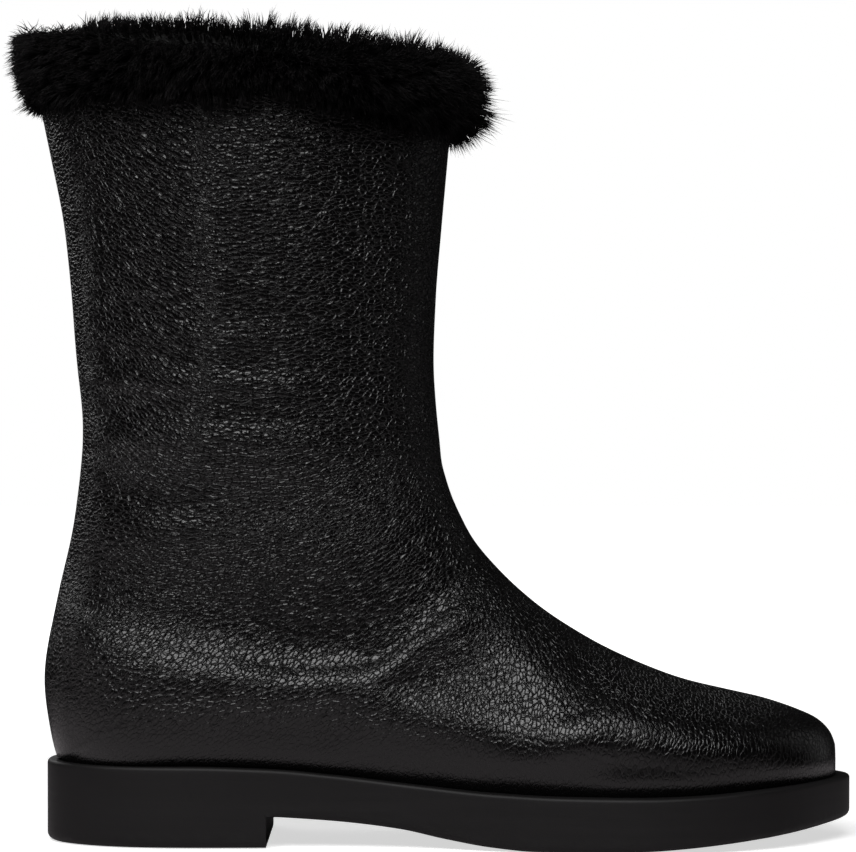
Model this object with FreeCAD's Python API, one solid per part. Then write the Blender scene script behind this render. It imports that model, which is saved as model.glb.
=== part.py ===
import FreeCAD, Part
import math
import os

# Pull-on mid-calf boot for the right foot, with a turned-over fur cuff and a one-piece rubber sole.
# Millimetres. The origin is on the ground under the middle of the heel.
# +X runs to the toe, +Z is up and +Y is the inner side of the foot.

Vector = FreeCAD.Vector
OUTER = -1
INNER = 1
SIDES = ((OUTER, "outer"), (INNER, "inner"))

# Driving dimensions
SOLE_REAR = -39.2
SOLE_TIP = 240.8
HEEL_BREAST = 38.0
UPPER_TIP = 235.8
LEATHER = 1.8
TAPE_DEPTHS = (1.9, 2.4)
COUNTER_DEPTHS = (1.9, 3.2)
PUFF_DEPTHS = (1.9, 3.0)
INTERLINING_DEPTHS = (2.5, 3.3)
LINING_DEPTHS = (3.4, 9.9)
TAPE_WIDTH = 12.0
BOARD_INSET = 2.0
SOCK_INSET = 10.0
GAP = 0.1
INSOLE_BOARD = 2.3
SOCK_CUSHION = 2.0
FUR_SOCK = 7.0
MARGIN_WIDTH = 14.0
SHANK_THICK = 1.0
SHANK_WIDTH = 12.0
SHANK_START = -12.0
SHANK_END = 92.0
BACKPART_END = 104.0
RIVET_RADIUS = 2.0
RIVET_PLACES = (2.0, 78.0)
HEEL_CORE_LENGTH = 50.0
HEEL_CORE_WIDTH = 40.0
HEEL_CORE_FLOOR = 7.0
TOPLINE_HEIGHT = 272.0
TOPLINE_SLOPE = -0.085
TOPLINE_X = 30.0
LIP_ROUNDING = 1.0
TREAD_ROUNDING = 1.6
COUNTER_START = 0.3
COUNTER_TOP = 80.0
COUNTER_OUTLINE = ((-90, 0), (52, 0), (40, 40), (15, 66), (-15, COUNTER_TOP), (-90, COUNTER_TOP))
PUFF_START = 196.0
BACK_TAPE_RINGS = 24
INTERLINING_LOW = 84.0
VAMP_SPLIT_TOP = 96.0
VAMP_SPLIT_LOW = 112.0
EDGE_TUCK = 3.5
TUCK_HEIGHT = 8.0
TOE_SWING = 6.0
SEAM_SWING_START = 110.0
SHOULDER = 4.0
SHOULDER_HEIGHT = 46.0
SHOULDER_SPREAD = 20.0
THROAT_LOW = 70.0
THROAT_HIGH = 140.0
TOO_WIDE = 90.0

# Top edge of the sole's side wall: (x, z)
LIP = ((-60, 27.6), (-39, 27.6), (10, 27.6), (38, 26.8), (62, 24.6), (90, 21.4), (114, 19.4),
       (139, 18.6), (167, 18.5), (188, 19.0), (210, 20.2), (241, 21.4), (260, 21.6))

# Underside of the sole from the heel breast to the toe: (x, z)
TREAD = ((HEEL_BREAST, 10.7), (62, 9.0), (84, 6.4), (99, 3.4), (115, 1.0), (130, 0.0), (150, 0.0),
         (166, 0.5), (182, 1.5), (200, 3.0), (220, 4.9), (SOLE_TIP + 5, 7.6))

# Plan of the sole: (x, half width on the outer side, half width on the inner side)
PLAN = ((-35.0, 16.0, 16.0), (-25.0, 25.5, 25.5), (-10.0, 31.8, 31.8), (12.0, 34.2, 33.8),
        (38.0, 33.8, 32.6), (65.0, 33.2, 29.6), (90.0, 35.2, 28.8), (115.0, 41.5, 33.5),
        (140.0, 47.3, 41.0), (162.0, 49.6, 46.0), (180.0, 48.2, 47.0), (200.0, 41.8, 43.8),
        (218.0, 30.0, 36.5), (231.0, 15.0, 26.0))
TOE_POINT_Y = 7.0

# Places of the upper's sides near the sole: (x, outer side, inner side)
BODY = ((-60, 32.0, 32.0), (0, 32.4, 32.0), (38, 31.8, 30.6), (65, 31.2, 27.8), (90, 33.2, 27.2),
        (115, 39.4, 31.6), (140, 45.2, 38.8), (162, 47.4, 43.6), (180, 45.8, 44.4),
        (200, 39.0, 40.6), (214, 31.5, 35.3), (224, 27.4, 32.5), (240, 21.0, 28.0))

# Half widths of the shaft: (z, half width)
SHAFT = ((30, 36.0), (60, 37.2), (90, 39.6), (120, 43.0), (150, 46.4), (200, 50.4), (240, 52.4),
         (290, 53.8))

# Rings of the upper from the shaft's top to the toe:
# front point (x, z), back point (x, z), length of the front rounding, length of the back rounding
RINGS = ((102.8, 285, -46.0, 285, 74.4, 74.4),
         (101.3, 262, -42.0, 262, 71.6, 71.6),
         (99.7, 240, -37.8, 240, 68.7, 68.7),
         (97.9, 215, -33.3, 215, 65.6, 65.6),
         (96.2, 190, -30.8, 190, 63.5, 63.5),
         (95.3, 166, -28.9, 165, 62.1, 62.1),
         (96.1, 151, -26.8, 142, 61.5, 61.5),
         (97.3, 139, -29.7, 112, 62.0, 62.0),
         (98.1, 131, -36.2, 82, 62.0, 52.0),
         (99.7, 124.8, -40.6, 54.6, 60.0, 42.0),
         (102.0, 118.0, -35.9, 28.1, 58.0, 37.0),
         (104.2, 113.0, -29.0, 5.0, 56.0, 36.0),
         (108.8, 104.3, -4.0, -21.0, 53.0, 32.0),
         (117.5, 93.7, 50.0, -23.0, 48.0, 26.0),
         (131.5, 80.9, 104.7, -19.0, 42.0, 20.0),
         (150.0, 68.8, 150.0, -12.0, 36.0, 15.0),
         (166.0, 61.0, 166.0, -8.0, 31.0, 12.0),
         (183.0, 54.6, 183.0, -3.0, 27.5, 10.0),
         (198.0, 51.0, 198.0, 0.0, 25.0, 9.0),
         (211.0, 47.9, 211.0, 3.0, 22.0, 8.0),
         (222.0, 44.2, 222.0, 6.0, 19.0, 7.0),
         (230.0, 40.4, 230.0, 9.0, 15.0, 6.0),
         (234.2, 35.8, 234.2, 12.0, 9.5, 5.0),
         (235.8, 31.5, 235.8, 15.0, 6.0, 4.3))
RING_COUNT = 48

# Section through the fur cuff, from its lower edge outside over the top to its edge inside:
# (distance outwards from the leather, height above the leather's top edge)
CUFF_FACE = ((3.0, -31.0), (9.5, -28.5), (12.8, -21.0), (13.4, -11.0), (12.2, -1.0), (7.5, 6.5),
             (0.0, 9.0), (-6.5, 7.0), (-11.0, 1.6))
CUFF_SEAT = ((0.4, -27.0), (0.4, -23.0), (0.4, -18.0), (0.4, -12.0), (0.4, -6.0), (0.3, -0.5),
             (-2.0, 0.8), (-6.0, 0.8), (-10.2, 0.6))
CUFF_STEPS = 14

# Heights of the cuff's lower edge and of its crest from the leather's top edge, round the shaft:
# (place from 0 at the front to 1 at the back, lower edge, crest)
CUFF_HEIGHTS = ((0.0, -25.0, 7.0), (0.15, -24.5, 9.5), (0.30, -21.0, 10.0), (0.42, -17.0, 10.0),
                (0.60, -22.5, 10.5), (0.80, -26.0, 8.0), (0.90, -28.5, 5.0), (1.0, -31.0, 1.5))
STEPS_PER_SIDE = 16
TOE_START = 190.0
TOE_REFERENCE = 45.0
SIDE_REFERENCE = 40.0
TOE_ROUNDING = 28.0


def smooth(table, x, column=1):
    """Value at x of the smooth curve through the table's rows (monotone cubic)."""
    last = len(table) - 1
    if x <= table[0][0]:
        return table[0][column]
    if x >= table[last][0]:
        return table[last][column]
    index = 0
    while x > table[index + 1][0]:
        index += 1

    def slope(k):
        return (table[k + 1][column] - table[k][column]) / (table[k + 1][0] - table[k][0])

    def tangent(k):
        if k == 0:
            return slope(0)
        if k == last:
            return slope(last - 1)
        if slope(k - 1) * slope(k) <= 0:
            return 0.0
        return 2 * slope(k - 1) * slope(k) / (slope(k - 1) + slope(k))

    width = table[index + 1][0] - table[index][0]
    u = (x - table[index][0]) / width
    low = table[index][column] * (1 + 2 * u) + width * tangent(index) * u
    high = table[index + 1][column] * (3 - 2 * u) - width * tangent(index + 1) * (1 - u)
    return low * (1 - u) ** 2 + high * u * u


def ramp(value, start, end):
    """0 before start, 1 after end, and smooth between them."""
    u = min(max((value - start) / (end - start), 0.0), 1.0)
    return u * u * (3 - 2 * u)


def cap(distance, length):
    """Rise of a quarter ellipse from 0 at its end to 1 at length."""
    u = min(distance / length, 1.0)
    return math.sqrt(max(u * (2 - u), 0.0))


def lip(x):
    return smooth(LIP, x)


def topline(x):
    return TOPLINE_HEIGHT + TOPLINE_SLOPE * (x - TOPLINE_X)


def seam_y(x):
    """Sideways place of the centre seams: straight in the shaft, towards the big toe in the foot."""
    return TOE_SWING * ramp(x, SEAM_SWING_START, UPPER_TIP + 20)


def side_y(x, z, side):
    """Sideways reach of the upper at a place in the side view, measured from its centre seam.
    The foot has a shoulder low down, a throat above it, and the shaft widens over the throat."""
    column = 1 if side == OUTER else 2
    seam = seam_y(x)
    body = smooth(BODY, x, column) - side * seam
    shoulder = SHOULDER * math.exp(-((z - SHOULDER_HEIGHT) / SHOULDER_SPREAD) ** 2)
    body += shoulder * (1 - ramp(x, 60.0, 125.0))
    height = z - lip(x)
    tuck = EDGE_TUCK * (1 - min(max(height / TUCK_HEIGHT, 0.0), 1.0)) ** 2
    body -= tuck * min(max(body, 0.0) / 20.0, 1.0)
    body *= cap(max(UPPER_TIP - x, 0.0), TOE_ROUNDING)
    return body + (smooth(SHAFT, z) - body) * ramp(z, THROAT_LOW, THROAT_HIGH)


def even_rings():
    """The rings of RINGS respaced so that the steps between them grow and shrink gently."""
    def middle_width(row):
        return side_y((row[0] + row[2]) / 2, (row[1] + row[3]) / 2, OUTER)

    rows = [(0.0,) + RINGS[0]]
    for before, after in zip(RINGS, RINGS[1:]):
        front_step = math.hypot(after[0] - before[0], after[1] - before[1])
        back_step = math.hypot(after[2] - before[2], after[3] - before[3])
        side_step = abs(middle_width(after) - middle_width(before))
        step = (front_step + back_step) / 2 + side_step
        rows.append((rows[-1][0] + step,) + after)
    end = rows[-1][0]
    return [[smooth(rows, end * k / (RING_COUNT - 1), column) for column in range(1, 7)]
            for k in range(RING_COUNT)]


EVEN_RINGS = even_rings()


def ring_point(row, s, side, inset):
    """Point of a ring, s from 0 at the front to 1 at the back, moved inwards by inset."""
    front = Vector(row[0], 0, row[1])
    back = Vector(row[2], 0, row[3])
    length = (back - front).Length
    place = front + (back - front) * s
    toe = ramp(front.x, TOE_START, UPPER_TIP)
    shrink = 1 - 2 * inset / max(length, TOE_REFERENCE)
    middle = (front + back) * 0.5
    moved = middle + (place - middle) * shrink
    width = side_y(place.x, place.z, side)
    width *= 1 - inset / max(width, SIDE_REFERENCE)
    width *= cap(s * length, row[4]) * cap((1 - s) * length, row[5])
    return Vector(moved.x - inset * toe, seam_y(place.x) + side * width, moved.z)


def spread(k, count, start, end):
    """Even steps of angle from start to end, so that points crowd at the front and the back."""
    first = math.acos(1 - 2 * start)
    last = math.acos(1 - 2 * end)
    return (1 - math.cos(first + (last - first) * k / count)) / 2


def surface(rows):
    result = Part.BSplineSurface()
    result.interpolate(rows)
    return result


def solid_between(near_rows, far_rows):
    """Solid between two grids of points that have the same rows and columns."""
    near = surface(near_rows)
    far = surface(far_rows)
    faces = [near.toShape(), far.toShape()]
    u0, u1, v0, v1 = near.bounds()
    p0, p1, q0, q1 = far.bounds()
    borders = ((near.uIso(u0), far.uIso(p0)), (near.uIso(u1), far.uIso(p1)),
               (near.vIso(v0), far.vIso(q0)), (near.vIso(v1), far.vIso(q1)))
    for first, second in borders:
        faces.append(Part.makeRuledSurface(first.toShape(), second.toShape(), 1))
    shell = Part.makeCompound(faces)
    shell.sewShape()
    solid = Part.Solid(shell.Shells[0])
    if solid.Volume < 0:
        solid.reverse()
    return solid


def layer(depths, columns, rings):
    """Layer between two depths; columns(row) lists (side, s) across one ring."""
    grids = [[[ring_point(row, s, side, depth) for side, s in columns(row)] for row in rings]
             for depth in depths]
    return solid_between(grids[0], grids[1])


def one_side(side):
    return lambda row: [(side, spread(k, STEPS_PER_SIDE, 0.0, 1.0))
                        for k in range(STEPS_PER_SIDE + 1)]


def around_back(start):
    """Columns that run from the outer side round the back seam to the inner side."""
    half = STEPS_PER_SIDE // 2

    def columns(row):
        outer = [(OUTER, spread(k, half, start, 1.0)) for k in range(half + 1)]
        inner = [(INNER, spread(k, half, start, 1.0)) for k in range(half - 1, -1, -1)]
        return outer + inner
    return columns


def strip(width, at_back):
    """Columns of a strip centred on the front or the back seam."""
    half = 4

    def reach(row, side):
        low = 0.0
        high = 0.5
        for _ in range(30):
            s = (low + high) / 2
            point = ring_point(row, 1 - s if at_back else s, side, 0.0)
            if abs(point.y - seam_y(point.x)) < width / 2:
                low = s
            else:
                high = s
        return (low + high) / 2

    def columns(row):
        result = []
        for side, order in ((OUTER, range(half, -1, -1)), (INNER, range(1, half + 1))):
            edge = reach(row, side)
            for k in order:
                s = edge * (k / half) ** 2
                result.append((side, 1 - s if at_back else s))
        return result
    return columns


def side_region(outline):
    """Prism across the whole boot from an outline in the side view."""
    points = [Vector(x, -TOO_WIDE, z) for x, z in outline]
    return Part.Face(Part.makePolygon(points + [points[0]])).extrude(Vector(0, 2 * TOO_WIDE, 0))


def spline_edge(points):
    curve = Part.BSplineCurve()
    curve.interpolate(points)
    return curve.toShape()


def curved_slab(low, high):
    """Space between two heights above the sole's top, over the whole length."""
    xs = [x for x, z in LIP]
    bottom = [Vector(x, -TOO_WIDE, lip(x) + low) for x in xs]
    top = [Vector(x, -TOO_WIDE, lip(x) + high) for x in xs]
    lower = spline_edge(bottom)
    upper = spline_edge(top)
    ends = [Part.makeLine(bottom[0], top[0]), Part.makeLine(bottom[-1], top[-1])]
    wire = Part.Wire(Part.__sortEdges__([lower, upper] + ends))
    return Part.Face(wire).extrude(Vector(0, 2 * TOO_WIDE, 0))


def below_topline(low, high):
    """Space between two heights measured from the slanted top edge of the shaft."""
    return side_region(((-90, topline(-90) + low), (280, topline(280) + low),
                        (280, topline(280) + high), (-90, topline(-90) + high)))


def level_outline(inset, height):
    """Plan outline of the upper, moved inwards by inset, at a height above the sole's top."""
    rear = rear_x(height) + inset
    points = {OUTER: [], INNER: []}
    for side in (OUTER, INNER):
        for row in EVEN_RINGS[:-1]:
            point = level_point(row, side, inset, height)
            if point is not None:
                points[side].append(point)
    tip = ring_point(EVEN_RINGS[-1], 0.5, OUTER, inset)
    keep = [p for p in points[OUTER] if p.x > rear + 1.5]
    back = [p for p in points[INNER] if p.x > rear + 1.5]
    loop = [Vector(rear, 0, 0)] + keep + [Vector(tip.x - 1.5, tip.y, 0)]
    loop += list(reversed(back))
    curve = Part.BSplineCurve()
    curve.interpolate(Points=loop, PeriodicFlag=True)
    return Part.Face(Part.Wire([curve.toShape()]))


def rear_x(height):
    level = lip(-36.0) + height
    rows = sorted((row[3], row[2]) for row in RINGS[8:12])
    return smooth(rows, level)


def level_point(row, side, inset, height):
    """Where a ring's side crosses a level above the sole's top, or None."""
    low = 0.15
    high = 1.0
    back = Vector(row[2], 0, row[3])
    if back.z > lip(back.x) + height:
        return None
    for _ in range(40):
        s = (low + high) / 2
        x = row[0] + (row[2] - row[0]) * s
        z = row[1] + (row[3] - row[1]) * s
        if z > lip(x) + height:
            low = s
        else:
            high = s
    point = ring_point(row, low, side, inset)
    return Vector(point.x, point.y, 0)


def plate(inset, low, high, outline_height):
    """Plate that follows the sole's top between two heights above it."""
    face = level_outline(inset, outline_height)
    return face.extrude(Vector(0, 0, 120)).common(curved_slab(low, high))


def save(shape, name):
    solids = shape.Solids
    result = solids[0] if len(solids) == 1 else Part.makeCompound(solids)
    result.exportStep("parts/" + name + ".step")
    print(name, len(solids), all(s.isValid() for s in solids), round(result.Volume / 1000.0, 2))


def make_sole():
    outer = [Vector(x, -y, 0) for x, y, _ in PLAN]
    inner = [Vector(x, y, 0) for x, _, y in reversed(PLAN)]
    loop = [Vector(SOLE_REAR, 0, 0)] + outer + [Vector(SOLE_TIP, TOE_POINT_Y, 0)] + inner
    curve = Part.BSplineCurve()
    curve.interpolate(Points=loop, PeriodicFlag=True)
    block = Part.Face(Part.Wire([curve.toShape()])).extrude(Vector(0, 0, 60))
    top = spline_edge([Vector(x, -TOO_WIDE, lip(x)) for x, z in LIP])
    tread = spline_edge([Vector(x, -TOO_WIDE, z) for x, z in TREAD])
    start = Vector(LIP[0][0], -TOO_WIDE, lip(LIP[0][0]))
    end = Vector(LIP[-1][0], -TOO_WIDE, lip(LIP[-1][0]))
    toe_low = Vector(TREAD[-1][0], -TOO_WIDE, TREAD[-1][1])
    corner = Vector(end.x, -TOO_WIDE, toe_low.z)
    heel_rear = Vector(start.x, -TOO_WIDE, 0)
    heel_front = Vector(HEEL_BREAST, -TOO_WIDE, 0)
    breast_top = Vector(HEEL_BREAST, -TOO_WIDE, TREAD[0][1])
    lines = [Part.makeLine(start, heel_rear), Part.makeLine(heel_rear, heel_front),
             Part.makeLine(heel_front, breast_top), Part.makeLine(toe_low, corner),
             Part.makeLine(corner, end)]
    wire = Part.Wire(Part.__sortEdges__([top, tread] + lines))
    profile = Part.Face(wire).extrude(Vector(0, 2 * TOO_WIDE, 0))
    return round_edges(block.common(profile))


def round_edges(sole):
    """Small roundings along the top edge of the sole's wall and along its lower edge."""
    low = [edge for edge in sole.Edges if edge.BoundBox.XLength > 1.0 and edge.BoundBox.ZMin < 15.0]
    rounded = sole.makeFillet(TREAD_ROUNDING, low)
    top = [edge for edge in rounded.Edges if edge.BoundBox.ZMin > 15.0]
    return rounded.makeFillet(LIP_ROUNDING, top)


def half_plan(side):
    """Tall prism over one side of the centre seam, kept a little clear of it."""
    clear = 0.3 * side
    xs = (-60, 60, SEAM_SWING_START, 140, 170, 200, 230, 255)
    seam = [Vector(x, seam_y(x) + clear, 0) for x in xs]
    far = [Vector(255, side * TOO_WIDE, 0), Vector(-60, side * TOO_WIDE, 0)]
    edges = [spline_edge(seam), Part.makeLine(seam[-1], far[0]), Part.makeLine(far[0], far[1]),
             Part.makeLine(far[1], seam[0])]
    return Part.Face(Part.Wire(Part.__sortEdges__(edges))).extrude(Vector(0, 0, 320))


def heel_core_block():
    half = HEEL_CORE_WIDTH / 2
    corner = Vector(-HEEL_CORE_LENGTH / 2, -half, HEEL_CORE_FLOOR)
    return Part.makeBox(HEEL_CORE_LENGTH, 2 * half, 60, corner)


def rivet(x, low, high):
    """Rivet through the shank and the boards, square to the sole's top at x."""
    slope = (lip(x + 1) - lip(x - 1)) / 2
    axis = Vector(-slope, 0, 1).normalize()
    base = Vector(x, 0, lip(x)) + axis * low
    return Part.makeCylinder(RIVET_RADIUS, high - low, base, axis)


def make_bottom():
    """Sole, its heel core, the fillings, the shank and the boards that lie on it."""
    sole = make_sole()
    core = heel_core_block()
    heel_core = core.cut(curved_slab(0.0, 200.0))
    save(sole.cut(core), "outsole")
    save(heel_core, "heel_core")

    window = level_outline(MARGIN_WIDTH + GAP, 0.5).extrude(Vector(0, 0, 120))
    filling = window.common(curved_slab(0.0, LEATHER))
    shank_box = Part.makeBox(SHANK_END - SHANK_START, SHANK_WIDTH, 120,
                             Vector(SHANK_START, -SHANK_WIDTH / 2, 0))
    behind = Part.makeBox(200, 2 * TOO_WIDE, 120, Vector(BACKPART_END - 200, -TOO_WIDE, 0))
    board_top = LEATHER + GAP + INSOLE_BOARD
    rivets = Part.makeCompound([rivet(x, 0.0, board_top) for x in RIVET_PLACES])
    shank = shank_box.common(curved_slab(0.0, SHANK_THICK))
    save(filling.common(behind).cut(shank).cut(rivets), "shank_board")
    save(filling.cut(behind), "forepart_filler")
    save(shank.cut(rivets), "shank")
    save(rivets, "shank_rivets")
    save(plate(BOARD_INSET, LEATHER + GAP, board_top, board_top - 1.0).cut(rivets), "insole_board")
    cushion_top = board_top + SOCK_CUSHION
    save(plate(SOCK_INSET, board_top, cushion_top, cushion_top), "sock_cushion")
    save(plate(SOCK_INSET, cushion_top, cushion_top + FUR_SOCK, cushion_top), "fur_sock")


def make_upper(above_sole, under_top):
    """The two leather panels, each with the margin that is lasted under the boot."""
    hole = level_outline(MARGIN_WIDTH, 0.5).extrude(Vector(0, 0, 120))
    margin = plate(0.9, 0.0, LEATHER, 0.5).cut(hole)
    for side, word in SIDES:
        wall = layer((0.0, LEATHER), one_side(side), EVEN_RINGS)
        wall = wall.common(above_sole).common(under_top)
        save(wall.fuse(margin.common(half_plan(side))), "upper_" + word + "_side")


def make_stiffeners(above_board, under_top):
    """Heel counter, toe puff, and the tapes inside the seams and the top edge."""
    heel_rings = [row for row in EVEN_RINGS if row[3] < 100 and row[2] < 75]
    counter = layer(COUNTER_DEPTHS, around_back(COUNTER_START), heel_rings)
    save(counter.common(above_board).common(side_region(COUNTER_OUTLINE)), "heel_counter")

    toe_box = Part.makeBox(100, 2 * TOO_WIDE, 120, Vector(PUFF_START, -TOO_WIDE, 0))
    halves = []
    for side, word in SIDES:
        half = layer(PUFF_DEPTHS, one_side(side), EVEN_RINGS)
        halves.append(half.common(above_board).common(toe_box))
    save(Part.makeCompound(halves), "toe_puff")

    front = layer(TAPE_DEPTHS, strip(TAPE_WIDTH, False), EVEN_RINGS)
    behind_puff = side_region(((-90, 0), (PUFF_START - 1, 0), (PUFF_START - 1, 400), (-90, 400)))
    save(front.common(behind_puff).common(under_top), "front_seam_tape")
    back = layer(TAPE_DEPTHS, strip(TAPE_WIDTH, True), EVEN_RINGS[:BACK_TAPE_RINGS])
    above_counter = side_region(((-90, COUNTER_TOP + 2), (200, COUNTER_TOP + 2), (200, 400), (-90, 400)))
    save(back.common(above_counter).common(under_top), "back_seam_tape")


def make_linings(above_board, under_top):
    """Cloth interlining in the shaft, and the shearling lining in four pieces."""
    shaft_space = side_region(((-90, INTERLINING_LOW), (90, INTERLINING_LOW), (125, 140),
                               (125, 400), (-90, 400)))
    ahead = side_region(((VAMP_SPLIT_TOP, 160), (VAMP_SPLIT_LOW, 0), (280, 0), (280, 160)))
    for side, word in SIDES:
        cloth = layer(INTERLINING_DEPTHS, one_side(side), EVEN_RINGS)
        save(cloth.common(shaft_space).common(under_top), "interlining_" + word + "_side")
        lining = layer(LINING_DEPTHS, one_side(side), EVEN_RINGS)
        lining = lining.common(above_board).common(under_top)
        save(lining.cut(ahead), "shaft_lining_" + word + "_side")
        save(lining.common(ahead), "vamp_lining_" + word + "_side")


def shaft_row(z):
    """Level ring of the shaft at a height."""
    rows = [(row[1],) + row for row in reversed(RINGS[:6])]
    front = smooth(rows, z, 1)
    back = smooth(rows, z, 3)
    return (front, z, back, z, (front - back) / 2, (front - back) / 2)


def collar_point(s, side, outset, height):
    """Point round the top of the shaft, measured outwards from the leather and up from its edge."""
    guess = shaft_row(TOPLINE_HEIGHT)
    x = guess[0] + (guess[2] - guess[0]) * s
    z = topline(x) + height
    return ring_point(shaft_row(z), s, side, -outset)


def cuff_height(s, height):
    """Height of the cuff's section scaled to its lower edge or to its crest at s."""
    if height < 0:
        return height * smooth(CUFF_HEIGHTS, s, 1) / CUFF_FACE[0][1]
    return height * smooth(CUFF_HEIGHTS, s, 2) / max(row[1] for row in CUFF_FACE)


def make_collar():
    """Fur cuff that turns over the top edge of the shaft."""
    turns = [(OUTER, spread(k, CUFF_STEPS, 0.0, 1.0)) for k in range(CUFF_STEPS, -1, -1)]
    turns += [(INNER, spread(k, CUFF_STEPS, 0.0, 1.0)) for k in range(1, CUFF_STEPS + 1)]
    faces = []
    for profile in (CUFF_FACE, CUFF_SEAT):
        faces.append([[collar_point(s, side, outset, cuff_height(s, height)) for side, s in turns]
                      for outset, height in profile])
    save(solid_between(faces[0], faces[1]), "fur_cuff")


def main():
    os.makedirs("parts", exist_ok=True)
    above_sole = curved_slab(0.0, 400.0)
    above_board = curved_slab(LEATHER + INSOLE_BOARD + 3 * GAP, 400.0)
    under_top = below_topline(-400, 0)
    make_bottom()
    make_upper(above_sole, under_top)
    make_stiffeners(above_board, under_top)
    make_linings(above_board, under_top)
    make_collar()


if __name__ == "__main__":
    main()
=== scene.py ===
import math

import bmesh
import bpy
import numpy as np
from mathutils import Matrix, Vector, kdtree, noise


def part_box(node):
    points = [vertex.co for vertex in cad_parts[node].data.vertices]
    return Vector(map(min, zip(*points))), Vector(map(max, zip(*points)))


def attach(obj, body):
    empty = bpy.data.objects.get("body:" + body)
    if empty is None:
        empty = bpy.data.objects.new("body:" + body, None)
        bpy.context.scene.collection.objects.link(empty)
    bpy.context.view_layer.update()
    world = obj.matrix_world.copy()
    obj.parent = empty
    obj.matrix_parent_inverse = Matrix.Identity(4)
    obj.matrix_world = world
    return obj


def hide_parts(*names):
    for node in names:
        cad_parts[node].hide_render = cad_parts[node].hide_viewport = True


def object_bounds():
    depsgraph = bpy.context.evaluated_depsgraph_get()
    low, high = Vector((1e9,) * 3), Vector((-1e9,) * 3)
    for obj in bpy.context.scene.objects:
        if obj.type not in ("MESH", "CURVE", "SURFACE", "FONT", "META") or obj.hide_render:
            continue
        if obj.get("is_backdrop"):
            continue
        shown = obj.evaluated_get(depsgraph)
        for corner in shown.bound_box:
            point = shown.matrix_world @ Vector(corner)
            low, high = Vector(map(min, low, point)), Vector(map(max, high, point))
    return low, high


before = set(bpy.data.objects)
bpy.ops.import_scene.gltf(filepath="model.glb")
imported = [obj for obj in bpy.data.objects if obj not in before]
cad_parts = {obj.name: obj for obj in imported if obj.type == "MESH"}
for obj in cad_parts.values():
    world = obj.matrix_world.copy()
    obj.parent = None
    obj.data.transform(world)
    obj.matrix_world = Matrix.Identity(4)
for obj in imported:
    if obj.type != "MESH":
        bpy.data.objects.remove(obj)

# Pull-on boot for the right foot: grained leather, fur cuff, rubber sole.
# The shapes are worked out in millimetres in the frame of the CAD model, and the meshes and the
# materials are in metres. The front is towards +x, and the outer side of the foot is towards -y.

CAD_LOW, CAD_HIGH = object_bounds()
MM = 0.001
OUTER = -1
INNER = 1
SIDES = ((OUTER, "outer"), (INNER, "inner"))
SOLE_BACK, SOLE_TIP = (corner[0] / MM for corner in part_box("outsole"))
UPPER_TIP = 235.8  # x of the tip of the leather
HEEL_BREAST = 38.0  # x of the heel's front face
TOPLINE_HEIGHT = 272.0  # z of the leather's top edge at TOPLINE_X
TOPLINE_SLOPE = -0.085
TOPLINE_X = 30.0
EDGE_TUCK = 3.5  # how far the leather pulls in where it meets the sole
TUCK_HEIGHT = 8.0  # and over what height
TUCK_FULL_WIDTH = 20.0  # half width from which it pulls in fully
TOE_SWING = 6.0  # how far the centre seam leans to the inner side at the toe
SEAM_SWING_START = 110.0
TOE_ROUNDING = 28.0
TOE_POINT_Y = 7.0  # y of the sole's foremost point
SHOULDER = 4.0  # extra width low on the rear half of the foot, and its height and spread
SHOULDER_HEIGHT = 46.0
SHOULDER_SPREAD = 20.0
SHOULDER_FADE = (-125.0, -60.0)  # -x between which it grows to its full size
THROAT_LOW = 70.0  # heights between which the foot's width turns into the shaft's
THROAT_HIGH = 140.0
RING_TOP = 285.0  # z of the highest ring before it is tilted
SHEAR_START = 190.0  # z from which the rings are tilted
RING_BLUR = 0.006  # blur of the rings' places, as a share of their number
PANEL_ROWS = 372
PANEL_COLUMNS = 208
DRAFT_STEPS = 160  # points on a ring before they are respaced

# Top edge of the sole's side wall: (x, z)
LIP = ((-60, 27.6), (-39, 27.6), (10, 27.6), (38, 26.8), (62, 24.6), (90, 21.4), (114, 19.4),
       (139, 18.6), (167, 18.5), (188, 19.0), (210, 20.2), (241, 21.4), (260, 21.6))

# Underside of the sole from the heel breast to the toe: (x, z)
TREAD = ((HEEL_BREAST, 10.7), (62, 9.0), (84, 6.4), (99, 3.4), (115, 1.0), (130, 0.0), (150, 0.0),
         (166, 0.5), (182, 1.5), (200, 3.0), (220, 4.9), (246, 7.6))

# Plan of the sole: (x, half width on the outer side, half width on the inner side)
PLAN = ((-35, 16, 16), (-25, 25.5, 25.5), (-10, 31.8, 31.8), (12, 34.2, 33.8),
        (38, 33.8, 32.6), (65, 33.2, 29.6), (90, 35.2, 28.8), (115, 41.5, 33.5),
        (140, 47.3, 41), (162, 49.6, 46), (180, 48.2, 47), (200, 41.8, 43.8),
        (218, 30, 36.5), (231, 15, 26))

# Places of the upper's sides near the sole: (x, outer side, inner side)
BODY = ((-60, 32, 32), (0, 32.4, 32), (38, 31.8, 30.6), (65, 31.2, 27.8), (90, 33.2, 27.2),
        (115, 39.4, 31.6), (140, 45.2, 38.8), (162, 47.4, 43.6), (180, 45.8, 44.4),
        (200, 39, 40.6), (214, 31.5, 35.3), (224, 27.4, 32.5), (240, 21, 28))

# Half widths of the shaft: (z, half width)
SHAFT = ((30, 36.0), (60, 37.2), (90, 39.6), (120, 43.0), (150, 46.4), (200, 50.4), (240, 52.4),
         (290, 53.8))

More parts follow.
